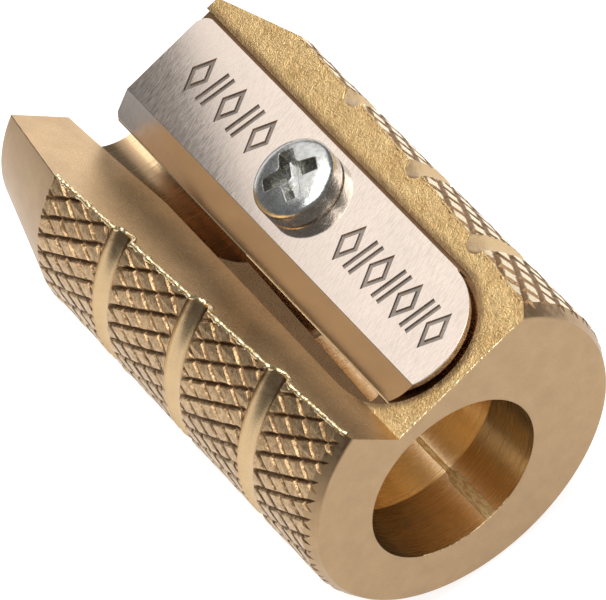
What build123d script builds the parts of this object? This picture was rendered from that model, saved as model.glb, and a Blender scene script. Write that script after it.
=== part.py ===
from build123d import *
import os
from math import cos, radians, sin, tan

# Round knurled pencil sharpener: a turned brass barrel, a hardened blade and the screw that clamps it.
# Millimetres. The origin is the centre of the pencil bore's mouth, on the flat entrance face.
# +X leaves the mouth, square to the face and along the barrel; +Z is up as the sharpener lies on a table.
# The pieces are drawn with the width of the blade's seat level, and rolled to how they lie at the end.

# Roll about X at which the weight is straight below the barrel's axis, so that the sharpener lies still
resting_roll = 12.2

# Barrel, turned about an axis that lies off the bore's mouth
axis_y = 0.81
axis_z = 0.47
body_radius = 7.5
body_length = 24.7
face_radius = 7.15
face_chamfer_length = 0.7
nose_length = 5.04
nose_end_radius = 6.05
groove_count = 3
first_groove_x = -4.7
groove_spacing = 5.25
groove_radius = 0.60
groove_centre_out = 0.12

# One milling pass cuts the seat, which falls towards the small end, and the ramp beside it
seat_height = 4.81
seat_angle = 8.5
ramp_corner_y = -0.42
ramp_angle = 29.0
cutter_reach = 12.0

# Shallow pocket in the seat, as wide as its cutter, that keeps the blade from turning
pocket_depth = 0.30
pocket_radius = 3.42
pocket_centre_s = -4.15
pocket_centre_y = 2.77

# Pencil hole: a cylinder, then a cone whose tip lies on the pocket's floor near the small end
bore_radius = 4.0
bore_length = 2.9
tip_x = -24.2
tip_y = 0.45
tip_z = 0.89

# Relief drilled from the small end for the point and the shavings
relief_radius = 2.5
relief_end_y = 0.89
relief_end_z = 0.90
relief_slope_y = -0.026
relief_slope_z = -0.066
relief_length = 11.1
drill_point_angle = 59.0

# Blade: ground bevel along its left side, cutting edge on the pocket's floor
blade_thickness = 0.75
blade_edge_y = 0.27
blade_bevel_width = 1.2
blade_right_y = 6.03
blade_rear_s = -24.4
blade_nose_radius = 3.15
blade_nose_s = -4.05
blade_nose_y = 2.82
blade_corner_radius = 0.7
blade_rear_chamfer = 0.25
edge_land = 0.03

# Screw M2 x 3.5, pan head with a cross recess; its thread is a plain shank in a plain hole
screw_s = -13.2
screw_y = 3.83
thread_radius = 1.0
thread_clearance = 0.05
blade_hole_radius = 1.12
thread_length = 3.35
tapped_depth = 2.9
head_radius = 1.88
head_side = 0.80
head_height = 1.25
head_crown_radius = 1.15
head_shoulder_radius = 0.65
recess_radius = 1.22
recess_width = 0.66
recess_depth = 0.75
recess_taper = 12.0
recess_turn = -28.0

along = Vector(cos(radians(seat_angle)), 0, sin(radians(seat_angle)))
outward = Vector(-sin(radians(seat_angle)), 0, cos(radians(seat_angle)))
seat = Plane(origin=(0, 0, seat_height), x_dir=along, z_dir=outward)
floor = seat.offset(-pocket_depth)
blade_top = floor.offset(blade_thickness)
turning = Plane(origin=(0, axis_y, axis_z), x_dir=(1, 0, 0), z_dir=(0, -1, 0))
turning_axis = Axis((0, axis_y, axis_z), (1, 0, 0))
across_seat = Plane(origin=(0, 0, seat_height), x_dir=(0, 1, 0), z_dir=along)
across_floor = Plane(origin=floor.origin, x_dir=(0, 1, 0), z_dir=along)

# The pencil hole's own axis, from its tip out through the mouth
tip_to_mouth = Vector(-tip_x, -tip_y, -tip_z)
tip_distance = tip_to_mouth.length
pencil_axis = Axis((0, 0, 0), tip_to_mouth)
pencil = Plane(origin=(0, 0, 0), x_dir=tip_to_mouth, z_dir=tip_to_mouth.cross(Vector(0, 0, 1)))

# The relief's axis, from the small end inwards
relief_inward = Vector(1, relief_slope_y, relief_slope_z)
relief_start = Vector(-body_length, relief_end_y, relief_end_z)
relief_axis = Axis(relief_start, relief_inward)
relief = Plane(origin=relief_start, x_dir=relief_inward, z_dir=relief_inward.cross(Vector(0, 0, 1)))


with BuildPart() as barrel:
    # Turned blank: entrance chamfer, straight length and tapered nose
    with BuildSketch(turning):
        with BuildLine():
            Polyline(
                (0, 0),
                (0, face_radius),
                (-face_chamfer_length, body_radius),
                (-body_length + nose_length, body_radius),
                (-body_length, nose_end_radius),
                (-body_length, 0),
                close=True,
            )
        make_face()
    revolve(axis=turning_axis)

    # Three round-bottomed finger grooves
    with BuildSketch(turning):
        for number in range(groove_count):
            with Locations((first_groove_x - number * groove_spacing, body_radius + groove_centre_out)):
                Circle(groove_radius)
    revolve(axis=turning_axis, mode=Mode.SUBTRACT)

    # Seat and ramp
    with BuildSketch(across_seat):
        with BuildLine():
            Polyline(
                (ramp_corner_y, 0),
                (ramp_corner_y - cutter_reach * tan(radians(ramp_angle)), cutter_reach),
                (cutter_reach, cutter_reach),
                (cutter_reach, 0),
                close=True,
            )
        make_face()
    extrude(amount=2 * body_length, both=True, mode=Mode.SUBTRACT)

    # Blade pocket: rounded at the entrance end, open at the small end
    with BuildSketch(floor):
        with Locations((pocket_centre_s, pocket_centre_y)):
            Circle(pocket_radius)
            Rectangle(2 * body_length, 2 * pocket_radius, align=(Align.MAX, Align.CENTER))
    extrude(amount=cutter_reach, mode=Mode.SUBTRACT)

    # Pencil hole: cylinder and cone about its own axis
    with BuildSketch(pencil):
        with BuildLine():
            Polyline(
                (1, 0), (1, bore_radius), (-bore_length, bore_radius), (-tip_distance, 0), close=True
            )
        make_face()
    revolve(axis=pencil_axis, mode=Mode.SUBTRACT)

    # Relief from the small end, with the drill's point
    with BuildSketch(relief):
        with BuildLine():
            Polyline(
                (-1, 0),
                (-1, relief_radius),
                (relief_length, relief_radius),
                (relief_length + relief_radius / tan(radians(drill_point_angle)), 0),
                close=True,
            )
        make_face()
    revolve(axis=relief_axis, mode=Mode.SUBTRACT)

    # Hole for the blade screw
    with BuildSketch(floor):
        with Locations((screw_s, screw_y)):
            Circle(thread_radius + thread_clearance)
    extrude(amount=-tapped_depth, mode=Mode.SUBTRACT)


with BuildPart() as blade:
    # Ground section, long enough for the whole blade
    with BuildSketch(across_floor):
        with BuildLine():
            Polyline(
                (blade_edge_y, 0),
                (blade_edge_y, edge_land),
                (blade_edge_y + blade_bevel_width, blade_thickness),
                (blade_right_y, blade_thickness),
                (blade_right_y, 0),
                close=True,
            )
        make_face()
    extrude(amount=2 * body_length, both=True)

    # Outline: rounded front, square rear with two eased corners
    with BuildSketch(floor):
        with BuildLine():
            Polyline(
                (blade_nose_s, blade_nose_y - blade_nose_radius),
                (blade_rear_s + blade_rear_chamfer, blade_nose_y - blade_nose_radius),
                (blade_rear_s + blade_rear_chamfer, blade_edge_y),
                (blade_rear_s, blade_edge_y + blade_rear_chamfer),
                (blade_rear_s, blade_right_y - blade_corner_radius),
            )
            RadiusArc(
                (blade_rear_s, blade_right_y - blade_corner_radius),
                (blade_rear_s + blade_corner_radius, blade_right_y),
                blade_corner_radius,
            )
            Polyline(
                (blade_rear_s + blade_corner_radius, blade_right_y),
                (blade_nose_s, blade_right_y),
                (blade_nose_s, blade_nose_y - blade_nose_radius),
            )
        make_face()
        with Locations((blade_nose_s, blade_nose_y)):
            Circle(blade_nose_radius)
    extrude(amount=blade_thickness, mode=Mode.INTERSECT)

    # Screw hole
    with BuildSketch(floor):
        with Locations((screw_s, screw_y)):
            Circle(blade_hole_radius)
    extrude(amount=blade_thickness, mode=Mode.SUBTRACT)


screw_origin = blade_top.from_local_coords(Vector(screw_s, screw_y, 0))
screw_section = Plane(origin=screw_origin, x_dir=along, z_dir=(0, -1, 0))
screw_axis = Axis(screw_origin, outward)
head_plane = Plane(origin=screw_origin, x_dir=along, z_dir=outward)

with BuildPart() as blade_screw:
    # Head and shank, turned about the screw's axis
    with BuildSketch(screw_section):
        with BuildLine():
            Polyline(
                (head_crown_radius, head_height),
                (0, head_height),
                (0, -thread_length),
                (thread_radius, -thread_length),
                (thread_radius, 0),
                (head_radius, 0),
                (head_radius, head_side),
            )
            RadiusArc(
                (head_radius, head_side), (head_crown_radius, head_height), -head_shoulder_radius
            )
        make_face()
    revolve(axis=screw_axis)

    # Cross recess, tapering to its floor
    with BuildSketch(head_plane.offset(head_height)):
        Rectangle(2 * recess_radius, recess_width, rotation=recess_turn)
        Rectangle(recess_width, 2 * recess_radius, rotation=recess_turn)
    extrude(amount=-recess_depth, taper=recess_taper, mode=Mode.SUBTRACT)


# As it lies on a table
lying = Location((0, 0, 0), (resting_roll, 0, 0))
os.makedirs("parts", exist_ok=True)
for builder, name in ((barrel, "barrel"), (blade, "blade"), (blade_screw, "blade_screw")):
    piece = lying * builder.part
    piece.label = name
    export_step(piece, f"parts/{name}.step")
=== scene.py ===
import math

import bpy
import bmesh
import numpy as np
from mathutils import Matrix, Vector, noise


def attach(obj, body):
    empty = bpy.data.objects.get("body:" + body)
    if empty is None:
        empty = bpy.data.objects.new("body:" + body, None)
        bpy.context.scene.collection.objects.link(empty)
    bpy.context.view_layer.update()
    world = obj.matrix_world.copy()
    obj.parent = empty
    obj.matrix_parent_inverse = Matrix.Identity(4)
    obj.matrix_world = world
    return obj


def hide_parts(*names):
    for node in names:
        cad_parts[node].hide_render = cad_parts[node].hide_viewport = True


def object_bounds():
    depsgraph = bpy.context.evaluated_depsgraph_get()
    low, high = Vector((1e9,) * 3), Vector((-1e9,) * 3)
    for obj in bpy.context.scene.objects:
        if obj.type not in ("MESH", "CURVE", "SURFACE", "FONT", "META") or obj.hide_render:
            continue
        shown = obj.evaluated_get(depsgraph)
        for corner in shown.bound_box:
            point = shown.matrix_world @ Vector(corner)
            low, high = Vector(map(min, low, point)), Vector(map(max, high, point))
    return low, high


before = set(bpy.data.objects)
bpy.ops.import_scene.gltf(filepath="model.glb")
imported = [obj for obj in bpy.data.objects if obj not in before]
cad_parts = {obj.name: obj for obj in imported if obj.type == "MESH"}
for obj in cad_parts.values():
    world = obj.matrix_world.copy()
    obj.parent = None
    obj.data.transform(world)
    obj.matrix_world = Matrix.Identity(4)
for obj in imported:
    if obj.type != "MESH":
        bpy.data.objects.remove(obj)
cad_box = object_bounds()

# ----------------------------------------
# Sizes, in millimetres. Everything is drawn with the width of the blade's seat level, then rolled
# to how the sharpener lies and scaled to the frame's metres.
# ----------------------------------------
MM = 0.001
resting_roll = math.radians(12.2)

axis_y, axis_z = 0.81, 0.47
body_radius, body_length = 7.5, 24.7
face_radius, face_chamfer_length = 7.15, 0.7
nose_length, nose_end_radius = 5.04, 6.05
nose_x = nose_length - body_length
groove_count, first_groove_x, groove_spacing = 3, -4.7, 5.25
groove_radius, groove_centre_out = 0.60, 0.12

seat_height, seat_angle = 4.81, math.radians(8.5)
ramp_corner_y, ramp_angle, cutter_reach = -0.42, math.radians(29.0), 12.0
pocket_depth, pocket_radius, pocket_centre_s, pocket_centre_y = 0.30, 3.42, -4.15, 2.77

bore_radius, bore_length = 4.0, 2.9
pencil_tip = Vector((-24.2, 0.45, 0.89))
relief_radius, relief_length, relief_nose_further = 2.5, 11.1, 1.5
relief_start = Vector((-body_length, 0.89, 0.90))
relief_inward = Vector((1, -0.026, -0.066)).normalized()

blade_thickness, blade_edge_y, blade_bevel_width, blade_right_y = 0.75, 0.27, 1.2, 6.03
blade_rear_s, blade_nose_radius, blade_nose_s, blade_nose_y = -24.4, 3.15, -4.05, 2.82
blade_corner_radius, blade_rear_chamfer, edge_land, hone_width = 0.7, 0.25, 0.03, 0.06

screw_s, screw_y = -13.2, 3.83
thread_radius, thread_pitch, thread_depth, thread_length = 1.0, 0.4, 0.2, 3.35
tapped_depth, thread_clearance, blade_hole_radius = 2.9, 0.05, 1.12
head_radius, head_side, head_height = 1.88, 0.80, 1.25
recess_radius, recess_width, recess_depth = 1.22, 0.66, 0.75
recess_taper, recess_turn = math.radians(12.0), math.radians(-28.0)

# Diamond knurl: cells round the barrel, cell length along it, half a groove's width as a share of the
# grooves' pitch, and the length over which the grooves run out at the nose
knurl_cells, knurl_cell_length = 47, 1.62
knurl_depth, knurl_groove_share, knurl_fade = 0.135, 0.15, 0.5

ALONG = Vector((math.cos(seat_angle), 0, math.sin(seat_angle)))
ACROSS = Vector((0, 1, 0))
OUTWARD = Vector((-math.sin(seat_angle), 0, math.cos(seat_angle)))
AXIS_POINT = Vector((0, axis_y, axis_z))
TO_FRAME = Matrix.Scale(MM, 4) @ Matrix.Rotation(resting_roll, 4, "X")


def on_seat(s, y, h):
    """A point s along the seat from the entrance, y across it and h above it."""
    return Vector((0, 0, seat_height)) + s * ALONG + y * ACROSS + h * OUTWARD


def ramp_edge_point(x, radius):
    """Where the ramp is radius from the barrel's axis at x: a quadratic in the height h above the seat."""
    z0 = seat_height + x * math.tan(seat_angle) - axis_z
    y0 = ramp_corner_y - axis_y
    rise, run = 1 / math.cos(seat_angle), -math.tan(ramp_angle)
    a = rise**2 + run**2
    b = 2 * (z0 * rise + y0 * run)
    c = z0**2 + y0**2 - radius**2
    h = (-b + math.sqrt(b * b - 4 * a * c)) / (2 * a)
    s = (x + h * math.sin(seat_angle)) / math.cos(seat_angle)
    return on_seat(s, ramp_corner_y + h * run, h)


def seat_right_edge(x, radius):
    """Where the seat's right side is radius from the barrel's axis at x."""
    z = seat_height + x * math.tan(seat_angle)
    return Vector((x, axis_y + math.sqrt(radius**2 - (z - axis_z) ** 2), z))


ring_grooves = [first_groove_x - number * groove_spacing for number in range(groove_count)]


# ----------------------------------------
# Mesh building
# ----------------------------------------
def mesh_object(name, points, faces, slots=None, materials=()):
    """An object of points and faces, with the faces turned outwards."""
    mesh = bpy.data.meshes.new(name)
    mesh.from_pydata([tuple(p) for p in points], [], faces)
    for material in materials:
        mesh.materials.append(material)
    if slots is not None:
        mesh.polygons.foreach_set("material_index", slots)
    cleaned = bmesh.new()
    cleaned.from_mesh(mesh)
    bmesh.ops.recalc_face_normals(cleaned, faces=cleaned.faces)
    if cleaned.calc_volume(signed=True) < 0:
        bmesh.ops.reverse_faces(cleaned, faces=cleaned.faces)
    cleaned.to_mesh(mesh)
    cleaned.free()
    obj = bpy.data.objects.new(name, mesh)
    bpy.context.scene.collection.objects.link(obj)
    return obj


def open_edges(faces):
    """Edges that only one face uses, in the order and direction in which it uses them."""
    edges = {}
    for face in faces:
        for k in range(len(face)):
            edges[face[k], face[(k + 1) % len(face)]] = True
    return [(a, b) for a, b in edges if (b, a) not in edges]


def turned(name, profile, origin, axis, materials, segments, slots=None):
    """A closed solid turned about an axis from (distance, radius) points that start and end on it."""
    axis = Vector(axis).normalized()
    side = axis.cross(Vector((0, 0, 1)) if abs(axis.z) < 0.9 else Vector((0, 1, 0))).normalized()
    other = axis.cross(side)
    points = [origin + axis * profile[0][0]]
    for distance, radius in profile[1:-1]:
        for k in range(segments):
            a = 2 * math.pi * k / segments
            out = side * math.cos(a) + other * math.sin(a)
            points.append(origin + axis * distance + out * radius)
    points.append(origin + axis * profile[-1][0])
    faces, face_slots = [], []
    rings = len(profile) - 2
    for k in range(segments):
        n = (k + 1) % segments
        faces.append((0, 1 + n, 1 + k))
        face_slots.append(slots[0] if slots else 0)
        for ring in range(rings - 1):
            a, b = 1 + ring * segments, 1 + (ring + 1) * segments
            faces.append((a + k, a + n, b + n, b + k))
            face_slots.append(slots[ring + 1] if slots else 0)
        last = 1 + (rings - 1) * segments
        faces.append((last + k, last + n, len(points) - 1))
        face_slots.append(slots[-1] if slots else 0)
    return mesh_object(name, points, faces, face_slots, materials)


def prism(name, outline, low, high, place, materials):
    """A prism of an outline of (p, q) points between two levels; place(p, q, level) gives a point."""
    n = len(outline)
    points = [place(p, q, low) for p, q in outline] + [place(p, q, high) for p, q in outline]
    faces = [tuple(range(n - 1, -1, -1)), tuple(range(n, 2 * n))]
    faces += [(k, (k + 1) % n, n + (k + 1) % n, n + k) for k in range(n)]
    return mesh_object(name, points, faces, None, materials)


def combined(target, tool, operation):
    """Cuts, joins or intersects a closed solid with another, which is used up."""
    modifier = target.modifiers.new("shape", "BOOLEAN")
    modifier.operation, modifier.object, modifier.solver = operation, tool, "MANIFOLD"
    modifier.material_mode = "TRANSFER"
    made = bpy.data.meshes.new_from_object(target.evaluated_get(bpy.context.evaluated_depsgraph_get()))
    target.modifiers.clear()
    target.data = made
    bpy.data.objects.remove(tool)


def finished(obj, body, smooth_below=10.0):
    """Drops a drawn piece's needle-thin faces, puts it in the frame and gives it to its body.

    Faces that meet at less than smooth_below degrees are shaded as one surface.
    """
    thinnest = 2e-5
    worked = bmesh.new()
    worked.from_mesh(obj.data)
    bmesh.ops.dissolve_degenerate(worked, dist=thinnest, edges=worked.edges)
    worked.to_mesh(obj.data)
    worked.free()
    obj.data.transform(TO_FRAME)
    obj.data.polygons.foreach_set("use_smooth", [True] * len(obj.data.polygons))
    obj.data.set_sharp_from_angle(angle=math.radians(smooth_below))
    obj.data.update()
    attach(obj, body)


def arc(centre, radius, start, end, steps):
    """Points round a centre, angles in degrees."""
    angles = [math.radians(start + (end - start) * k / steps) for k in range(steps + 1)]
    return [(centre[0] + radius * math.cos(a), centre[1] + radius * math.sin(a)) for a in angles]


# ----------------------------------------
# Materials: procedural, in drawn millimetres
# ----------------------------------------
class Nodes:
    """Short names for building a material's nodes."""

    def __init__(self, name):
        self.material = bpy.data.materials.new(name)
        self.material.use_nodes = True
        self.tree = self.material.node_tree
        self.shader = self.tree.nodes["Principled BSDF"]

    def put(self, socket, value):
        """Links a socket to an input, or sets the input to a value."""
        if isinstance(value, bpy.types.NodeSocket):
            self.tree.links.new(value, socket)
        else:
            socket.default_value = value

    def add(self, kind, inputs=None, output=0, **settings):
        """Adds a node and gives one of its outputs."""
        node = self.tree.nodes.new(kind)
        for key, value in settings.items():
            setattr(node, key, value)
        for key, value in (inputs or {}).items():
            self.put(node.inputs[key], value)
        return node.outputs[output]

    def math(self, operation, a, b=0.0):
        return self.add("ShaderNodeMath", {0: a, 1: b}, operation=operation)

    def weighted(self, a, weight_a, b, weight_b):
        return self.math("ADD", self.math("MULTIPLY", a, weight_a), self.math("MULTIPLY", b, weight_b))

    def length(self, a, b):
        """Length of a vector with these two parts."""
        squares = self.math("ADD", self.math("MULTIPLY", a, a), self.math("MULTIPLY", b, b))
        return self.math("SQRT", squares)

    def split(self, vector):
        """The x, y and z of a vector."""
        node = self.tree.nodes.new("ShaderNodeSeparateXYZ")
        self.put(node.inputs[0], vector)
        return node.outputs

    def drawn(self):
        """Position in millimetres with the seat's width level."""
        place = self.add("ShaderNodeTexCoord", output=3)
        return self.add(
            "ShaderNodeMapping",
            {"Vector": place, "Scale": (1 / MM,) * 3, "Rotation": (-resting_roll, 0, 0)},
        )

    def stretched(self, vector, size, turn=(0.0, 0.0, 0.0)):
        """Coordinates in which a feature is size millimetres long, along axes turned by turn."""
        inputs = {"Vector": vector, "Scale": size, "Rotation": turn}
        return self.add("ShaderNodeMapping", inputs, vector_type="TEXTURE")

    def share_near(self, drawn, point, radius, blur):
        """1 near a point, falling to 0 at the radius with a ragged border."""
        away = self.add("ShaderNodeVectorMath", {0: drawn, 1: tuple(point)}, 1, operation="DISTANCE")
        wander = self.math("SUBTRACT", self.noise(drawn, 2.5, 4.0, 0.65), 0.5)
        ragged = self.math("ADD", away, self.math("MULTIPLY", wander, 2 * blur))
        return self.ramp(ragged, radius - 0.5 * blur, radius + 0.5 * blur, 1.0, 0.0)

    def noise(self, vector, scale, detail=3.0, rough=0.55, distortion=0.0):
        inputs = {"Vector": vector, "Scale": scale, "Detail": detail}
        inputs |= {"Roughness": rough, "Distortion": distortion}
        return self.add("ShaderNodeTexNoise", inputs)

    def ramp(self, value, low, high, to_low=0.0, to_high=1.0):
        """Goes smoothly from to_low, where the value is low, to to_high, where it is high."""
        inputs = {0: value, 1: low, 2: high, 3: to_low, 4: to_high}
        return self.add("ShaderNodeMapRange", inputs, interpolation_type="SMOOTHSTEP")

    def mix(self, share, a, b):
        """Colour a where the share is 0 and colour b where it is 1."""
        node = self.tree.nodes.new("ShaderNodeMix")
        node.data_type = "RGBA"
        self.put(node.inputs[0], share)
        self.put(node.inputs[6], a if isinstance(a, bpy.types.NodeSocket) else (*a, 1))
        self.put(node.inputs[7], b if isinstance(b, bpy.types.NodeSocket) else (*b, 1))
        return node.outputs[2]

    def bump(self, height, distance_mm, normal=None):
        """Raises the surface by up to distance_mm, on top of an earlier bump."""
        inputs = {"Height": height, "Distance": distance_mm * MM, "Strength": 1.0}
        if normal is not None:
            inputs["Normal"] = normal
        return self.add("ShaderNodeBump", inputs)

    def finish(self, colour, roughness, normal=None, metallic=1.0):
        """Gives the shader its inputs, and returns the material."""
        self.put(self.shader.inputs["Base Color"], colour)
        self.put(self.shader.inputs["Roughness"], roughness)
        self.shader.inputs["Metallic"].default_value = metallic
        if normal is not None:
            self.put(self.shader.inputs["Normal"], normal)
        return self.material


BRASS = (0.335, 0.223, 0.120)
BRASS_PALE = (0.435, 0.289, 0.157)
BRASS_GOLD = (0.66, 0.46, 0.20)
BRASS_BRIGHT = (0.92, 0.76, 0.50)
STEEL = (0.78, 0.655, 0.56)
ZINC = (0.56, 0.56, 0.54)
CORNER_STAIN = (0.15, 0.095, 0.05)
GROOVE_STAIN = (0.27, 0.175, 0.09)


def brass_turned(name, pale, dark, rough, line_depth, line_scale, stained=(), stain=CORNER_STAIN):
    """Brass off the lathe: fine rings, an even grain, and darker stains round some points."""
    n = Nodes(name)
    drawn = n.drawn()
    x, y, z = n.split(drawn)
    from_axis = n.length(n.math("SUBTRACT", y, axis_y), n.math("SUBTRACT", z, axis_z))
    rings = n.add("ShaderNodeCombineXYZ", {0: x, 1: from_axis})
    lines = n.noise(rings, line_scale, 4.0, 0.7)
    mottling = n.noise(drawn, 1.1, 5.0, 0.65)
    grain = n.noise(drawn, 16.0, 3.0, 0.7)
    colour = n.mix(n.ramp(n.weighted(mottling, 0.45, grain, 0.55), 0.3, 0.7), dark, pale)
    # the stains keep off the entrance face, and are patchy
    off_face = n.ramp(x, -0.10, -0.02, 1.0, 0.0)
    patchy = n.ramp(mottling, 0.38, 0.58, 0.25, 0.85)
    for point, radius in stained:
        share = n.math("MULTIPLY", n.share_near(drawn, point, radius, 0.8), off_face)
        colour = n.mix(n.math("MULTIPLY", share, patchy), colour, stain)
    roughness = n.ramp(n.weighted(lines, 0.6, grain, 0.4), 0.3, 0.7, rough - 0.05, rough + 0.07)
    normal = n.bump(grain, 0.005, n.bump(lines, line_depth))
    return n.finish(colour, roughness, normal)


def brass_milled(name):
    """The ramp: fine cutter lines along its length, and a speckled grain."""
    n = Nodes(name)
    drawn = n.drawn()
    lines = n.noise(n.stretched(drawn, (3.0, 0.09, 0.09), (0, -seat_angle, 0)), 1.0, 3.0, 0.65)
    speckle = n.noise(drawn, 14.0, 3.0, 0.7)
    mottling = n.noise(drawn, 0.5, 4.0, 0.6)
    dark, pale = (0.49, 0.312, 0.142), (0.57, 0.365, 0.168)
    colour = n.mix(n.ramp(mottling, 0.35, 0.65), dark, pale)
    normal = n.bump(speckle, 0.007, n.bump(lines, 0.006))
    return n.finish(colour, n.ramp(speckle, 0.3, 0.7, 0.25, 0.36), normal)


def brass_seat(name):
    """The seat beside the blade: a torn, stippled gold skin, with painted shade in a band where it meets the
    pocket.
    """
    n = Nodes(name)
    drawn = n.drawn()
    stipple = n.noise(drawn, 6.0, 3.0, 0.6, 1.2)
    fine = n.noise(drawn, 15.0, 2.0, 0.6)
    patches = n.noise(drawn, 0.9, 4.0, 0.65)
    bright, browned = (0.74, 0.51, 0.235), (0.62, 0.40, 0.17)
    pitted, seat_shade = (0.50, 0.32, 0.15), (0.27, 0.17, 0.08)
    gold = n.mix(n.ramp(patches, 0.35, 0.7), bright, browned)
    colour = n.mix(n.ramp(stipple, 0.30, 0.48), pitted, gold)
    # the pocket's outline is pocket_radius from its centre line, and from the front end of that line
    s_here = n.add("ShaderNodeVectorMath", {0: drawn, 1: tuple(ALONG)}, 1, operation="DOT_PRODUCT")
    ahead = n.math("MAXIMUM", n.math("SUBTRACT", s_here, pocket_centre_s + seat_height * ALONG.z), 0.0)
    aside = n.math("SUBTRACT", n.split(drawn)[1], pocket_centre_y)
    ragged = n.math("ADD", n.length(ahead, aside), n.math("MULTIPLY", patches, 0.35))
    # painted shade: a ragged darker band on the seat beside the pocket, where the raised blade shades it
    shade_band = n.ramp(ragged, pocket_radius + 0.20, pocket_radius + 0.62, 1.0, 0.0)
    colour = n.mix(shade_band, colour, seat_shade)
    normal = n.bump(fine, 0.008, n.bump(stipple, 0.034))
    return n.finish(colour, n.ramp(fine, 0.3, 0.7, 0.28, 0.42), normal)


def brass_knurled(name):
    """Knurl: bright crests, with a brown skin down in the grooves, and a painted reflection lightening the
    right side.
    """
    n = Nodes(name)
    drawn = n.drawn()
    x, y, z = n.split(drawn)
    patches = n.noise(drawn, 4.0, 4.0, 0.65)
    angle = n.math("ARCTAN2", n.math("SUBTRACT", y, axis_y), n.math("SUBTRACT", z, axis_z))
    turned_cells = n.math("MULTIPLY", angle, knurl_cells / (2 * math.pi))
    length_cells = n.math("DIVIDE", x, knurl_cell_length)

    def to_line(cells):
        """Distance to the nearest groove of a family, as a share of the grooves' pitch."""
        return n.math("ABSOLUTE", n.math("SUBTRACT", cells, n.math("ROUND", cells)))

    web = n.math(
        "MINIMUM",
        to_line(n.math("ADD", length_cells, turned_cells)),
        to_line(n.math("SUBTRACT", length_cells, turned_cells)),
    )
    # painted reflection: towards the right side the grooves and crests get lighter and the crests wider, as
    # if mirroring a bright floor
    toward_right = n.ramp(n.math("ADD", y, patches), -0.5, 4.0)
    ragged = n.math("ADD", web, n.math("MULTIPLY", n.math("SUBTRACT", patches, 0.5), 0.30))
    ragged = n.math("SUBTRACT", ragged, n.math("MULTIPLY", toward_right, 0.125))
    crest = n.ramp(ragged, 0.06, 0.12)
    dark_groove, pale_groove = (0.19, 0.11, 0.052), (0.30, 0.18, 0.09)
    dark_crest, pale_crest, sheen_crest = (0.34, 0.218, 0.112), (0.54, 0.36, 0.188), (0.80, 0.66, 0.44)
    grooves = n.mix(toward_right, dark_groove, pale_groove)
    dull = n.mix(n.ramp(patches, 0.35, 0.65), dark_crest, pale_crest)
    colour = n.mix(crest, grooves, n.mix(toward_right, dull, sheen_crest))
    fine = n.noise(drawn, 9.0, 4.0, 0.65)
    roughness = n.math("SUBTRACT", n.ramp(fine, 0.3, 0.7, 0.38, 0.50), n.math("MULTIPLY", crest, 0.14))
    return n.finish(colour, roughness, n.bump(fine, 0.030))


def brass_bored(name, pale, dark, light_strip=False):
    """Inside the holes: shiny, with the reamer's rings and, in the mouth, a painted strip of light along the
    bottom, rougher and bumped there.
    """
    n = Nodes(name)
    drawn = n.drawn()
    x, y, z = n.split(drawn)
    rings = n.noise(n.add("ShaderNodeCombineXYZ", {0: x}), 7.0, 4.0, 0.75)
    broad = n.noise(n.stretched(drawn, (9.0, 1.2, 1.2)), 1.0, 2.0, 0.5)
    colour = n.mix(n.ramp(broad, 0.3, 0.7), dark, pale)
    roughness = n.ramp(rings, 0.3, 0.7, 0.19, 0.30)
    normal = n.bump(rings, 0.0025)
    if light_strip:
        # the painted strip of light is wide in the cylinder and narrow in the cone, where it ends
        strip_y, end_x = 0.04, -5.6
        strip_noise = n.noise(n.stretched(drawn, (0.35, 0.12, 0.12)), 1.0, 4.0, 0.7)
        off = n.math("ABSOLUTE", n.math("SUBTRACT", y, strip_y))
        half_width = n.ramp(x, -bore_length, 0.3 - bore_length, 0.10, 0.26)
        past_side = n.math("SUBTRACT", n.math("ADD", off, n.math("MULTIPLY", strip_noise, 0.10)), half_width)
        inside = n.ramp(past_side, 0.02, 0.07, 1.0, 0.0)
        inside = n.math("MULTIPLY", inside, n.ramp(x, end_x, end_x + 0.6))
        inside = n.math("MULTIPLY", inside, n.ramp(z, -1.0, -0.5, 1.0, 0.0))
        # painted light: the strip is coloured far brighter than the bore, for light falling through the slot
        # onto its bottom
        strip_colour = n.mix(n.ramp(strip_noise, 0.4, 0.6), (0.72, 0.50, 0.22), (1.0, 0.84, 0.50))
        colour = n.mix(inside, colour, strip_colour)
        roughness = n.math("ADD", roughness, n.math("MULTIPLY", inside, 0.18))
        normal = n.bump(n.math("MULTIPLY", inside, strip_noise), 0.03, normal)
    return n.finish(colour, roughness, normal)


def brass_burr(name):
    """Freshly torn brass, bright and a little uneven."""
    n = Nodes(name)
    fine = n.noise(n.drawn(), 9.0, 3.0, 0.6)
    colour = n.mix(n.ramp(fine, 0.35, 0.65), BRASS_GOLD, BRASS_BRIGHT)
    return n.finish(colour, n.ramp(fine, 0.3, 0.7, 0.2, 0.32), n.bump(fine, 0.01))


def steel_ground(name, colour_low, colour_high, rough, streak_depth=0.0003, darkest=0.83):
    """Blade steel, ground nearly straight across: short streaks, the darkest that share as bright."""
    n = Nodes(name)
    drawn = n.drawn()
    grinding_angle = math.radians(14.0)
    streaks = n.noise(n.stretched(drawn, (0.05, 0.42, 0.42), (0, 0, grinding_angle)), 1.0, 4.0, 0.7)
    cloud = n.noise(drawn, 0.35, 3.0, 0.5)
    fine = n.noise(drawn, 22.0, 2.0, 0.6)
    dim = n.add("ShaderNodeCombineColor", {k: n.ramp(streaks, 0.36, 0.60, darkest, 1.0) for k in range(3)})
    colour = n.mix(n.ramp(cloud, 0.3, 0.7), colour_low, colour_high)
    inputs = {0: 1.0, 6: colour, 7: dim}
    colour = n.add("ShaderNodeMix", inputs, 2, data_type="RGBA", blend_type="MULTIPLY")
    normal = n.bump(fine, 0.00008, n.bump(streaks, streak_depth))
    return n.finish(colour, n.ramp(streaks, 0.3, 0.7, rough - 0.02, rough + 0.03), normal)


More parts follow.
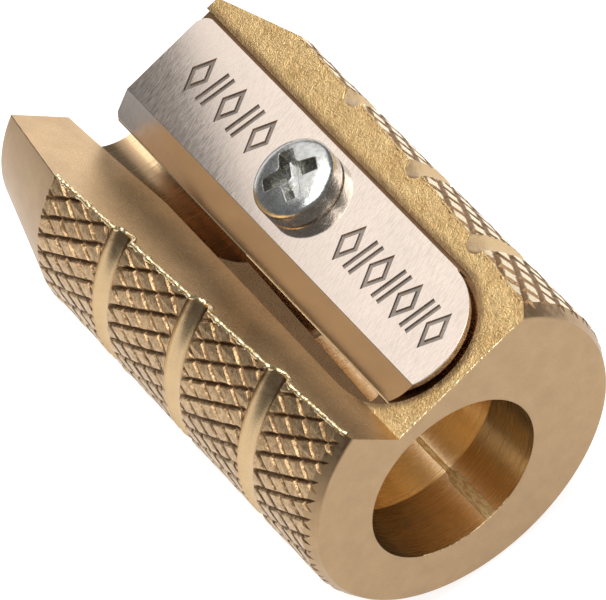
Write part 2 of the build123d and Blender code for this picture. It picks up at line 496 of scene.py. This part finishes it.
def zinc_plated(name):
    """Bright plating, blotched and finely pitted, with softened edges."""
    n = Nodes(name)
    drawn = n.drawn()
    blotch = n.noise(drawn, 3.2, 4.0, 0.6)
    fine = n.noise(drawn, 14.0, 3.0, 0.65)
    dull_zinc, edge_radius = (0.46, 0.45, 0.41), 0.06
    colour = n.mix(n.ramp(blotch, 0.35, 0.65), dull_zinc, ZINC)
    rounded = n.add("ShaderNodeBevel", {"Radius": edge_radius * MM}, samples=4)
    normal = n.bump(blotch, 0.012, n.bump(fine, 0.004, rounded))
    return n.finish(colour, n.ramp(fine, 0.3, 0.7, 0.12, 0.28), normal)


# Stains on the entrance chamfer, beside the seat and beside the ramp, and at the ring grooves' ends
stained_corners = ((Vector((-0.45, 7.2, seat_height - 0.9)), 1.5), (ramp_edge_point(-0.45, 7.3), 1.2))
stained_groove_ends = [
    (end(x, body_radius - 0.4), 1.2) for x in ring_grooves for end in (ramp_edge_point, seat_right_edge)
]
turned_brass = brass_turned("turned_brass", BRASS_PALE, BRASS, 0.40, 0.004, 11.0, stained_corners)
groove_brass = brass_turned(
    "groove_brass", (0.58, 0.415, 0.235), (0.50, 0.35, 0.19), 0.24, 0.002, 9.0,
    stained_groove_ends, GROOVE_STAIN,
)
milled_brass = brass_milled("milled_brass")
seat_brass = brass_seat("seat_brass")
knurled_brass = brass_knurled("knurled_brass")
bored_brass = brass_bored("bored_brass", (0.88, 0.70, 0.45), (0.78, 0.59, 0.35), light_strip=True)
# the relief is coloured much darker than the pencil bore: painted shade deep inside the hole
relief_brass = brass_bored("relief_brass", (0.46, 0.315, 0.18), (0.36, 0.24, 0.135))
# very dark brass: painted shade on the pocket's walls and floor beside and under the blade; the nose burr
# uses it too
pocket_brass = brass_turned("pocket_brass", (0.21, 0.12, 0.058), (0.15, 0.085, 0.042), 0.26, 0.003, 9.0)
burr_brass = brass_burr("burr_brass")
ground_steel = steel_ground("ground_steel", (0.74, 0.625, 0.535), STEEL, 0.08)
honed_steel = steel_ground("honed_steel", (0.66, 0.57, 0.50), (0.70, 0.60, 0.52), 0.22, 0.0006, 0.95)
stamped_steel = steel_ground("stamped_steel", (0.30, 0.25, 0.21), (0.42, 0.35, 0.30), 0.30)
# painted reflection: the cutting edge's facet and wire edge are coloured gold for the brass that the steel
# mirrors
edge_steel_gold_reflection = steel_ground("edge_steel_gold_reflection", (0.88, 0.68, 0.40), (0.95, 0.76, 0.46), 0.16, 0.0008, 0.95)
plated_steel = zinc_plated("plated_steel")


# ----------------------------------------
# Barrel
# ----------------------------------------
def knurled_bar():
    """A round bar whose skin follows the two families of knurl grooves, so that every crease is an edge.

    u and v count the grooves of the two families. One goes up and the other down as a point moves round
    the bar, and both go up along it. The bar runs past both ends of the barrel.
    """
    share, cells = knurl_groove_share, knurl_cells
    lines = [0.0, 0.5 * share, share, 0.5, 1 - share, 1 - 0.5 * share]
    per_cell = len(lines)
    low_x, high_x = -body_length - 2.0, 2.0
    wandering, skin = 0.035, 0.006

    def parameter(i):
        return i // per_cell + lines[i % per_cell]

    def tent(t):
        """1 on a groove's line, falling to 0 at its sides."""
        t = abs(t - round(t))
        return max(0.0, 1 - t / share)

    points, index, faces = [], {}, []

    def vertex(i, j):
        """Number of the point on line i of one family and line j of the other."""
        if i >= cells * per_cell:
            i, j = i - cells * per_cell, j + cells * per_cell
        if (i, j) not in index:
            u, v = parameter(i), parameter(j)
            x = knurl_cell_length * (u + v) / 2
            a = math.pi * (u - v) / cells
            round_y, round_z = body_radius * math.sin(a), body_radius * math.cos(a)
            wander = noise.noise(Vector((x * 0.9, round_y, round_z)))
            rough = noise.noise(Vector((x, round_y, round_z)) * 4.0)
            # the grooves run out at the nose and get shallower beside the ring grooves
            fade = min(1.0, max(0.0, (x - nose_x) / knurl_fade + 0.25))
            for place in ring_grooves:
                fade = min(fade, max(0.3, 0.3 + 0.7 * (abs(x - place) - groove_radius) / 0.25))
            x += wandering * fade * noise.noise(Vector((x, round_y, round_z)) * 3.1 + Vector((50, 0, 0)))
            turn = noise.noise(Vector((x, round_y, round_z)) * 3.1 + Vector((0, 50, 0)))
            a += wandering * fade / body_radius * turn
            depth = knurl_depth * (1 + 0.3 * wander) * fade * max(tent(u), tent(v)) ** 0.85
            # the crests are rough, and domed on the left side, where they are less worn
            toward_right = min(1.0, max(0.0, (round_y + axis_y + 0.5) / 4.5))
            from_line = min(abs(u - round(u)), abs(v - round(v)))
            crest = (0.008 + 0.02 * (1 + rough) + 0.034 * (1 - toward_right) * (1 - 2 * from_line)) * fade
            radius = body_radius - skin - depth - crest
            index[i, j] = len(points)
            points.append((x, axis_y + radius * math.sin(a), axis_z + radius * math.cos(a)))
        return index[i, j]

    for i in range(cells * per_cell):
        u = parameter(i)
        first = int((2 * low_x / knurl_cell_length - u) * per_cell)
        last = int((2 * high_x / knurl_cell_length - u) * per_cell)
        for j in range(first, last):
            a, b, c, d = vertex(i, j), vertex(i + 1, j), vertex(i + 1, j + 1), vertex(i, j + 1)
            # a quad is split along the crease where the sides of two grooves meet
            side_u = 0.5 * (parameter(i) + parameter(i + 1)) % 1 - 0.5
            side_v = 0.5 * (parameter(j) + parameter(j + 1)) % 1 - 0.5
            if side_u * side_v > 0:
                faces += [(a, b, c), (a, c, d)]
            else:
                faces += [(a, b, d), (b, c, d)]

    # an edge that only one face uses is at an end, which is closed to a point on the axis
    loose = open_edges(faces)
    for x_end in (low_x, high_x):
        points.append((x_end, axis_y, axis_z))
        centre = len(points) - 1
        faces += [(b, a, centre) for a, b in loose if abs(points[a][0] - x_end) < 2.5]
    return mesh_object("barrel", points, faces, [0] * len(faces), [knurled_brass])


def outer_radius(x):
    """Radius of the turned outline at x, ring grooves included."""
    radius = body_radius
    if x > -face_chamfer_length:
        radius = face_radius - (body_radius - face_radius) * x / face_chamfer_length
    if x < nose_x:
        radius = body_radius + (body_radius - nose_end_radius) * (x - nose_x) / nose_length
    for place in ring_grooves:
        away = abs(x - place)
        if away < groove_radius:
            radius = min(radius, body_radius + groove_centre_out - math.sqrt(groove_radius**2 - away**2))
    return radius


def turned_outline():
    """The lathe's outline, standing clear of the knurl between the chamfer and the nose."""
    clear, arc_steps = 0.25, 20
    chamfer_slope = (body_radius - face_radius) / face_chamfer_length
    nose_slope = (body_radius - nose_end_radius) / nose_length
    profile = [(0.0, 0.0), (0.0, face_radius - 0.05), (-0.03, face_radius)]
    profile.append((-face_chamfer_length - clear / chamfer_slope, body_radius + clear))
    half_width = math.sqrt(groove_radius**2 - groove_centre_out**2)
    start = math.degrees(math.asin(groove_centre_out / groove_radius))
    in_groove = set()
    for place in ring_grooves:
        profile.append((place + half_width + 0.02, body_radius + clear))
        in_groove.update(range(len(profile) - 1, len(profile) + arc_steps + 1))
        centre = (place, body_radius + groove_centre_out)
        profile += arc(centre, groove_radius, -start, -180 + start, arc_steps)
        profile.append((place - half_width - 0.02, body_radius + clear))
    profile.append((nose_x + clear / nose_slope, body_radius + clear))
    profile.append((-body_length + 0.12, nose_end_radius + 0.12 * nose_slope))
    profile += [(-body_length, nose_end_radius - 0.06), (-body_length, 0.0)]
    slots = [int(k in in_groove) for k in range(len(profile) - 1)]
    return turned("outline", profile, AXIS_POINT, (1, 0, 0), [turned_brass, groove_brass], 384, slots)


def seat_and_ramp_cutter():
    """Everything above the seat and the ramp, with the milled seat's slight waves."""
    deepest = 0.022

    def height(s, y):
        if y <= ramp_corner_y:
            return (ramp_corner_y - y) / math.tan(ramp_angle)
        broad = noise.noise(Vector((s * 1.3, y * 1.3, 3.0)))
        fine = noise.noise(Vector((s * 3.4, y * 3.4, 7.0)))
        wave = 0.6 * broad + 0.5 * fine
        return -deepest * min(1.0, max(0.0, 0.5 + wave)) * min(1.0, (y - ramp_corner_y) / 0.3)

    # lines 0.125 mm apart along the seat and about 0.12 mm across it, past the barrel's ends and side
    s_lines = np.linspace(-27.5, 2.5, 241).tolist()
    y_lines = [-8.0, ramp_corner_y] + np.linspace(ramp_corner_y + 0.12, 8.6, 76).tolist()
    rows, columns = len(s_lines), len(y_lines)
    points = [on_seat(s, y, height(s, y)) for s in s_lines for y in y_lines]
    faces, slots = [], []
    for i in range(rows - 1):
        for j in range(columns - 1):
            a = i * columns + j
            faces.append((a, a + 1, a + columns + 1, a + columns))
            slots.append(0 if j == 0 else 1)
    ring = [(i, 0) for i in range(rows)] + [(rows - 1, j) for j in range(1, columns)]
    ring += [(i, columns - 1) for i in range(rows - 2, -1, -1)] + [(0, j) for j in range(columns - 2, 0, -1)]
    top = len(points)
    points += [on_seat(s_lines[i], y_lines[j], 2 * cutter_reach) for i, j in ring]
    for k, (i, j) in enumerate(ring):
        n = (k + 1) % len(ring)
        ni, nj = ring[n]
        faces.append((i * columns + j, ni * columns + nj, top + n, top + k))
        slots.append(0)
    faces.append(tuple(range(top, top + len(ring))))
    slots.append(0)
    return mesh_object("cutter", points, faces, slots, [milled_brass, seat_brass])


def threaded(name, radius, depth, pitch, low, high, origin, axis, materials, segments=72):
    """A right-handed threaded rod along an axis: crest and root lines run along the helix.

    It reaches past low and high, and both its ends are closed to a point on the axis.
    """
    side = axis.cross(Vector((0, 1, 0))).normalized()
    other = axis.cross(side)
    # share of the pitch, and share of the depth there
    shape = [(0.0, 0.0), (0.12, 0.0), (0.44, 1.0), (0.56, 1.0), (0.88, 0.0)]
    turns = int((high - low) / pitch) + 3
    rings, points, faces = [], [], []
    for turn in range(turns):
        for share, down in shape:
            ring = []
            for k in range(segments + 1):
                a = 2 * math.pi * k / segments
                level = low - pitch + pitch * (turn + share + k / segments)
                out = side * math.cos(a) + other * math.sin(a)
                ring.append(len(points))
                points.append(origin + axis * level + out * (radius - depth * down))
            rings.append(ring)
    # one line of the helix ends where the next turn's begins
    same = {rings[i][segments]: rings[i + len(shape)][0] for i in range(len(rings) - len(shape))}
    for a, b in zip(rings, rings[1:]):
        for k in range(segments):
            quad = [a[k], a[k + 1], b[k + 1], b[k]]
            faces.append(tuple(same.get(v, v) for v in quad))
    loose = open_edges(faces)
    middle = 0.5 * (low + high)
    for is_top in (False, True):
        level = high + 3 * pitch if is_top else low - 2 * pitch
        points.append(origin + axis * level)
        for a, b in loose:
            if ((points[a] - origin).dot(axis) > middle) == is_top:
                faces.append((b, a, len(points) - 1))
    return mesh_object(name, points, faces, None, materials)


# Where the screw's axis meets the blade's top
screw_axis_point = on_seat(screw_s, screw_y, blade_thickness - pocket_depth)

barrel = knurled_bar()
combined(barrel, turned_outline(), "INTERSECT")
combined(barrel, seat_and_ramp_cutter(), "DIFFERENCE")

past_end_s, above_blade = -30.0, 6.0
pocket_outline = arc((pocket_centre_s, pocket_centre_y), pocket_radius, 90, -90, 64)
pocket_outline += [(past_end_s, pocket_centre_y + side * pocket_radius) for side in (-1, 1)]
pocket = prism("pocket", pocket_outline, -pocket_depth, above_blade, on_seat, [pocket_brass])
combined(barrel, pocket, "DIFFERENCE")

pencil_profile = [(1.0, 0.0), (1.0, bore_radius), (-bore_length, bore_radius), (-pencil_tip.length, 0.0)]
pencil_hole = turned("pencil", pencil_profile, Vector(), -pencil_tip, [bored_brass], 256)
combined(barrel, pencil_hole, "DIFFERENCE")

# Relief from the small end, with a rounded nose
nose_steps, nose_centre = 12, relief_length + relief_nose_further
relief_profile = [(-1.0, 0.0), (-1.0, relief_radius)]
for k in range(nose_steps):
    a = math.radians(90 * k / nose_steps)
    relief_profile.append((nose_centre + relief_radius * math.sin(a), relief_radius * math.cos(a)))
relief_profile.append((nose_centre + relief_radius, 0.0))
relief = turned("relief", relief_profile, relief_start, relief_inward, [relief_brass], 192)
combined(barrel, relief, "DIFFERENCE")

combined(
    barrel,
    threaded(
        "tapping", thread_radius + thread_clearance, thread_depth, thread_pitch,
        -blade_thickness - tapped_depth, 0.0, screw_axis_point, OUTWARD, [bored_brass],
    ),
    "DIFFERENCE",
)
finished(barrel, "barrel")
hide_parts("barrel")


bead_step = 0.07


def swept(name, path, width, material, sides=6):
    """A thin closed bead along a path; width(k) is its radius at the path's k-th point."""
    points, faces, count = [], [], len(path)
    lean = Vector((0.3, 0.2, 1))
    for k, point in enumerate(path):
        ahead = path[min(k + 1, count - 1)] - path[max(k - 1, 0)]
        side = ahead.cross(lean).normalized()
        other = ahead.cross(side).normalized()
        for n in range(sides):
            a = 2 * math.pi * n / sides
            points.append(point + (side * math.cos(a) + other * math.sin(a)) * width(k))
    for k in range(count - 1):
        for n in range(sides):
            m = (n + 1) % sides
            faces.append((k * sides + n, k * sides + m, (k + 1) * sides + m, (k + 1) * sides + n))
    faces += [tuple(range(sides - 1, -1, -1)), tuple(range((count - 1) * sides, count * sides))]
    return mesh_object(name, points, faces, None, [material])


def bead(name, path, thickness, seed, material, body="barrel"):
    """A torn burr along an edge: its thickness and line wander."""
    wander = [noise.noise(Vector((bead_step * k * 2.6, seed, 5.0))) for k in range(len(path))]
    jitter = [noise.noise(Vector((bead_step * k * 7.5, seed, 9.0))) for k in range(len(path))]
    lifted = [p + Vector((0, -0.3, 0.3)) * thickness * j for p, j in zip(path, jitter)]
    made = swept(name, lifted, lambda k: thickness * (1 + 0.45 * wander[k] + 0.35 * jitter[k]), material)
    finished(made, body, 60)


def even(start, end):
    """Evenly spaced places along a bead."""
    return np.arange(start, end, bead_step).tolist()


# Each burr's middle lies a little inside its edge, which keeps the burr inside the barrel's outer box
bead(
    "ramp_burr",
    [ramp_edge_point(x, outer_radius(x) - 0.165) for x in even(nose_x - 0.1, -0.35)],
    0.125, 1.0, burr_brass,
)
bead(
    "nose_burr",
    [ramp_edge_point(x, outer_radius(x) - 0.03) for x in even(0.05 - body_length, nose_x)],
    0.022, 2.0, pocket_brass,
)
bead(
    "seat_burr",
    [seat_right_edge(x, outer_radius(x) - 0.09) - 0.075 * OUTWARD for x in even(nose_x, -0.5)],
    0.07, 3.0, seat_brass,
)
mouth_rim = arc((0.0, 0.0), bore_radius - 0.012, -75, -140, 65)
bead("mouth_burr", [Vector((-0.032, y, z)) for y, z in mouth_rim], 0.022, 5.0, burr_brass)
bead(
    "entrance_burr",
    [on_seat(-0.075, y, -0.05) for y in even(ramp_corner_y, 6.3)],
    0.05, 4.0, burr_brass,
)


# ----------------------------------------
# Blade, with generic stamped marks
# ----------------------------------------
def on_floor(s, y, h):
    """A point s along the pocket's floor, y across it and h above it."""
    return on_seat(s, y, h - pocket_depth)


def blade_solid():
    """The ground section, with a honed facet at its cutting edge, cut to the blade's outline."""
    facet_top = blade_edge_y + 1.3 * hone_width
    section = [
        (blade_edge_y, 0.0),
        (blade_edge_y, 0.5 * edge_land),
        (blade_edge_y + hone_width, edge_land),
        (facet_top, 0.78 * hone_width + 0.8 * edge_land),
        (blade_edge_y + blade_bevel_width, blade_thickness),
        (blade_right_y + 2, blade_thickness),
        (blade_right_y + 2, 0.0),
    ]
    steels = [ground_steel, honed_steel, edge_steel_gold_reflection]
    solid = prism("blade", section, past_end_s, 3.0, lambda y, h, s: on_floor(s, y, h), steels)
    for side in solid.data.polygons:
        rise = side.normal.dot(OUTWARD)
        if 0.2 < rise < 0.999:
            side.material_index = 1 if rise < 0.9 else 2
    corner = (blade_rear_s + blade_corner_radius, blade_right_y - blade_corner_radius)
    outline = [
        (blade_rear_s + blade_rear_chamfer, blade_nose_y - blade_nose_radius),
        (blade_rear_s + blade_rear_chamfer, blade_edge_y),
        (blade_rear_s, blade_edge_y + blade_rear_chamfer),
    ]
    outline += arc(corner, blade_corner_radius, 180, 90, 12)
    outline.append((blade_nose_s, blade_right_y))
    outline += arc((blade_nose_s, blade_nose_y), blade_nose_radius, 87, -90, 60)
    combined(solid, prism("outline", outline, -1.0, 2.0, on_floor, [ground_steel]), "INTERSECT")
    return solid


def ease_top_edges(obj):
    """Rounds the edges round the blade's top."""
    top_level = on_floor(0, 0, blade_thickness).dot(OUTWARD)
    worked = bmesh.new()
    worked.from_mesh(obj.data)
    bmesh.ops.dissolve_limit(worked, angle_limit=math.radians(1.0), verts=worked.verts, edges=worked.edges)
    picked = [
        edge for edge in worked.edges
        if len(edge.link_faces) == 2
        and edge.calc_face_angle() > math.radians(30)
        and all(abs(vert.co.dot(OUTWARD) - top_level) < 1e-3 for vert in edge.verts)
    ]
    bmesh.ops.bevel(
        worked, geom=picked, offset=0.045, segments=3, profile=0.5, affect="EDGES", clamp_overlap=True
    )
    worked.to_mesh(obj.data)
    worked.free()


def stroke(path, wide, closed, deep, lift):
    """Points and faces of a flat-bottomed channel along a path of (s, y) points on the blade's top.

    Its section has four points: two above the top, lift high, and two closer together, deep below it.
    """
    count, sharpest = len(path), 0.35
    section_shape = ((1, 1.10, lift), (-1, 1.10, lift), (-1, 0.62, -deep), (1, 0.62, -deep))
    sections = []
    for k in range(count):
        here = Vector(path[k])
        has_before, has_after = closed or k > 0, closed or k < count - 1
        into = (here - Vector(path[k - 1])).normalized() if has_before else None
        out = (Vector(path[(k + 1) % count]) - here).normalized() if has_after else None
        into, out = into or out, out or into
        normal = (Vector((-into.y, into.x)) + Vector((-out.y, out.x))).normalized()
        mitre = normal / max(sharpest, normal.dot(Vector((-into.y, into.x))))
        ends = Vector((0, 0))
        if not closed and k == 0:
            ends = -out * 0.5 * wide
        if not closed and k == count - 1:
            ends = into * 0.5 * wide
        section = []
        for sign, share, level in section_shape:
            place = here + ends + mitre * (sign * share * 0.5 * wide)
            section.append(on_floor(place.x, place.y, blade_thickness + level))
        sections.append(section)
    points = [p for section in sections for p in section]
    faces = []
    for k in range(count if closed else count - 1):
        a, b = 4 * k, 4 * ((k + 1) % count)
        faces += [(a + m, a + (m + 1) % 4, b + (m + 1) % 4, b + m) for m in range(4)]
    if not closed:
        faces += [(3, 2, 1, 0), tuple(range(4 * count - 4, 4 * count))]
    return points, faces


def stamped_marks():
    """Two rows of plain ornament, lozenges and pairs of slanted bars, where such a blade is stamped."""
    wide, deep, lift = 0.27, 0.07, 0.06
    half_long, half_tall, bar_lean, bar_apart = 0.48, 0.78, 0.14, 0.22
    paths = []

    def lozenge(s, y):
        corners = [(s - half_long, y), (s, y + half_tall), (s + half_long, y), (s, y - half_tall)]
        paths.append((corners, True))

    def bar(s, y):
        reach = half_tall - 0.05
        paths.append(([(s - bar_lean, y - reach), (s + bar_lean, y + reach)], False))

    def row_of_marks(start, end, y, count):
        """Lozenges and pairs of bars by turns, with a lozenge first and last."""
        step = (end - start) / (count - 1)
        for k in range(count):
            s = start + k * step
            if k % 2 == 0:
                lozenge(s, y)
            else:
                bar(s - bar_apart, y)
                bar(s + bar_apart, y)

    row_of_marks(-22.0, -17.0, 4.05, 5)
    row_of_marks(-9.2, -2.5, 3.62, 7)
    points, faces = [], []
    for path, closed in paths:
        more, sides = stroke(path, wide, closed, deep, lift)
        faces += [tuple(v + len(points) for v in side) for side in sides]
        points += more
    return mesh_object("marks", points, faces, None, [stamped_steel])


blade = blade_solid()
ease_top_edges(blade)
combined(blade, stamped_marks(), "DIFFERENCE")

# Screw hole, countersunk slightly
countersink = 0.06
above = 0.3
hole_profile = [
    (-1.0, 0.0), (-1.0, blade_hole_radius), (0.0, blade_hole_radius), (above, blade_hole_radius + above),
    (above, 0.0),
]
hole_start = screw_axis_point - countersink * OUTWARD
combined(blade, turned("hole", hole_profile, hole_start, OUTWARD, [ground_steel], 96), "DIFFERENCE")
finished(blade, "blade", 8)
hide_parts("blade")

# The thin wire edge that honing leaves along the cutting edge, gold with a painted reflection of the brass
bead(
    "wire_edge",
    [on_floor(s, blade_edge_y - 0.01, 0.045) for s in even(screw_s - 0.2, -1.9)],
    0.024, 6.0, edge_steel_gold_reflection, "blade",
)


# ----------------------------------------
# Screw
# ----------------------------------------
# Head: a flat underside just clear of the blade, an eased lower edge, a side, and a top like part of
# an ellipse, fuller at its shoulder
clear_of_blade, crown_steps = 0.005, 24
head_profile = [(clear_of_blade, 0.0), (clear_of_blade, head_radius - 0.10)]
head_profile += [(0.025, head_radius - 0.05), (0.09, head_radius)]
for k in range(crown_steps):
    a = math.radians(90 * k / crown_steps)
    level = head_side + (head_height - head_side) * math.sin(a) ** 1.1
    head_profile.append((level, head_radius * math.cos(a) ** 0.82))
head_profile.append((head_height, 0.0))
screw = turned("blade_screw", head_profile, screw_axis_point, OUTWARD, [plated_steel], 192)


def cross_recess():
    """The cross: four tapering arms with rounded inner corners, and a shallow cone at its bottom."""
    above, cone_depth, worn_wider, worn_longer = 0.12, 0.1, 0.05, 0.06
    eased_corner, fillet, steps = 0.06, 0.24, 8
    points, faces = [], []
    for level in (above, -recess_depth):
        inset = -math.tan(recess_taper) * level
        half = recess_width / 2 + worn_wider - inset
        reach = recess_radius + worn_longer - inset
        outline = [(reach, -half + eased_corner), (reach, half - eased_corner), (reach - eased_corner, half)]
        # the inner corner, without its last point
        outline += arc((half + fillet, half + fillet), fillet, -90, -180, steps)[:-1]
        for arm in range(4):
            turn = recess_turn + arm * math.pi / 2
            for p, q in outline:
                x = p * math.cos(turn) - q * math.sin(turn)
                y = p * math.sin(turn) + q * math.cos(turn)
                points.append(screw_axis_point + x * ALONG + y * ACROSS + (head_height + level) * OUTWARD)
    n = len(points) // 2
    points.append(screw_axis_point + (head_height + above) * OUTWARD)
    points.append(screw_axis_point + (head_height - recess_depth - cone_depth) * OUTWARD)
    for k in range(n):
        m = (k + 1) % n
        faces += [(k, m, n + m, n + k), (m, k, 2 * n), (n + k, n + m, 2 * n + 1)]
    return mesh_object("recess", points, faces, None, [plated_steel])


combined(screw, cross_recess(), "DIFFERENCE")

# Shank: the thread, cut to its length with a pointed end, and run into the head
shank = threaded(
    "shank", thread_radius - 0.005, thread_depth - 0.02, thread_pitch, -thread_length, 0.1,
    screw_axis_point, OUTWARD, [plated_steel],
)
over_crest, point_length, into_head = thread_radius + 0.02, 0.32, 0.02
shank_profile = [(-thread_length, 0.0), (-thread_length, thread_radius - 0.3)]
shank_profile += [(-thread_length + point_length, over_crest), (into_head, over_crest), (into_head, 0.0)]
shank_ends = turned("shank_end", shank_profile, screw_axis_point, OUTWARD, [plated_steel], 96)
combined(shank, shank_ends, "INTERSECT")
combined(screw, shank, "UNION")
finished(screw, "screw", 32)
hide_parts("blade_screw")


# ----------------------------------------
# Floor, light and camera
# ----------------------------------------
low, high = cad_box
centre = (low + high) / 2


def pale_floor():
    """Grey paper that also gives off light, so that it is white and nearly free of shadow."""
    n = Nodes("pale_floor")
    cloud = n.noise(n.drawn(), 0.02, 2.0, 0.5)
    n.shader.inputs["Emission Color"].default_value = (1, 1, 1, 1)
    n.shader.inputs["Emission Strength"].default_value = 0.84
    return n.finish(n.mix(cloud, (0.46, 0.46, 0.46), (0.50, 0.50, 0.50)), 0.6, None, 0.0)


half_floor = 3.0
signs = ((-1, -1), (1, -1), (1, 1), (-1, 1))
floor_corners = [(x * half_floor, y * half_floor, low.z) for x, y in signs]
floor = mesh_object("floor", floor_corners, [(0, 1, 2, 3)], None, [pale_floor()])


# The camera's direction as seen from the sharpener, in degrees, its roll, and the point it looks at
camera_azimuth, camera_elevation, camera_roll = 73.745, 53.778, math.radians(23.989)
camera_distance, camera_aim = 361.243 * MM, Vector((-11.526, 0.640, -0.014)) * MM
camera_lens, camera_sensor = 522.07, 36.0


def heading(azimuth, elevation):
    """A direction from the sharpener, from degrees: azimuth 0 is towards -Y and 90 towards +X."""
    a, e = math.radians(azimuth), math.radians(elevation)
    return Vector((math.sin(a) * math.cos(e), -math.cos(a) * math.cos(e), math.sin(e)))


back = heading(camera_azimuth, camera_elevation)
camera_place = camera_aim + back * camera_distance


def blade_top(s, y):
    """A point of the blade's top, in the frame."""
    return TO_FRAME @ on_seat(s, y, blade_thickness - pocket_depth)


def mirrored(point):
    """Where the blade's top, at a point, sends the camera's line of sight."""
    normal = (TO_FRAME.to_3x3() @ OUTWARD).normalized()
    return (point - camera_place).normalized().reflect(normal)


def area_light(name, place, across, along, way, width, height, radiance):
    """A rectangular light that looks back along way; across is its width's direction."""
    data = bpy.data.lights.new(name, "AREA")
    data.shape, data.size, data.size_y = "RECTANGLE", width, height
    data.energy = radiance * math.pi * width * height
    lamp = bpy.data.objects.new(name, data)
    bpy.context.scene.collection.objects.link(lamp)
    lamp.matrix_world = Matrix.Translation(place) @ Matrix((across, along, way)).transposed().to_4x4()
    lamp.visible_camera = False


def softbox(name, way, distance, width, height, radiance):
    """An area light facing the sharpener."""
    right = way.cross(Vector((0, 0, 1))).normalized()
    area_light(name, centre + way * distance, -right, right.cross(way), way, width, height, radiance)


def edge_light(name, rear, front, distance, width, height, radiance):
    """An area light whose edge the blade mirrors along a line between two of its points."""
    ends = [blade_top(*rear), blade_top(*front)]
    middle = (ends[0] + ends[1]) / 2
    way = mirrored(middle)
    level = middle.dot(way) + distance
    met = [p + mirrored(p) * ((level - p.dot(way)) / mirrored(p).dot(way)) for p in ends]
    across = (met[1] - met[0]).normalized()
    along = way.cross(across)
    place = (met[0] + met[1]) / 2 + along * (0.5 * height)
    area_light(name, place, across, along, way, width, height, radiance)


# The rear left corner of the blade mirrors the dark beside the back light
edge_light(
    "back_light", rear=(-24.4, 4.5), front=(-10.8, 0.3), distance=0.15, width=0.20, height=0.16, radiance=1.08
)
softbox("top_light", heading(-150, 72), distance=0.5, width=0.36, height=0.36, radiance=3.0)
softbox("front_light", heading(60, 78), distance=0.6, width=0.36, height=0.36, radiance=3.6)

world = bpy.data.worlds.new("studio")
world.use_nodes = True
sky = world.node_tree.nodes["Background"]
sky.inputs["Color"].default_value = (0.93, 0.96, 1.0, 1)
sky.inputs["Strength"].default_value = 0.24
bpy.context.scene.world = world
bpy.context.scene.view_settings.view_transform = "Standard"

camera_data = bpy.data.cameras.new("camera")
camera_data.lens, camera_data.sensor_width = camera_lens, camera_sensor
camera_data.clip_start, camera_data.clip_end = 0.02, 20.0
camera = bpy.data.objects.new("camera", camera_data)
bpy.context.scene.collection.objects.link(camera)
level_up = (Vector((0, 0, 1)) - back * back.z).normalized()
level_right = level_up.cross(back)
up = level_up * math.cos(camera_roll) + level_right * math.sin(camera_roll)
right = up.cross(back)
camera_turn = Matrix((right, up, back)).transposed().to_4x4()
camera.matrix_world = Matrix.Translation(camera_place) @ camera_turn
bpy.context.scene.camera = camera
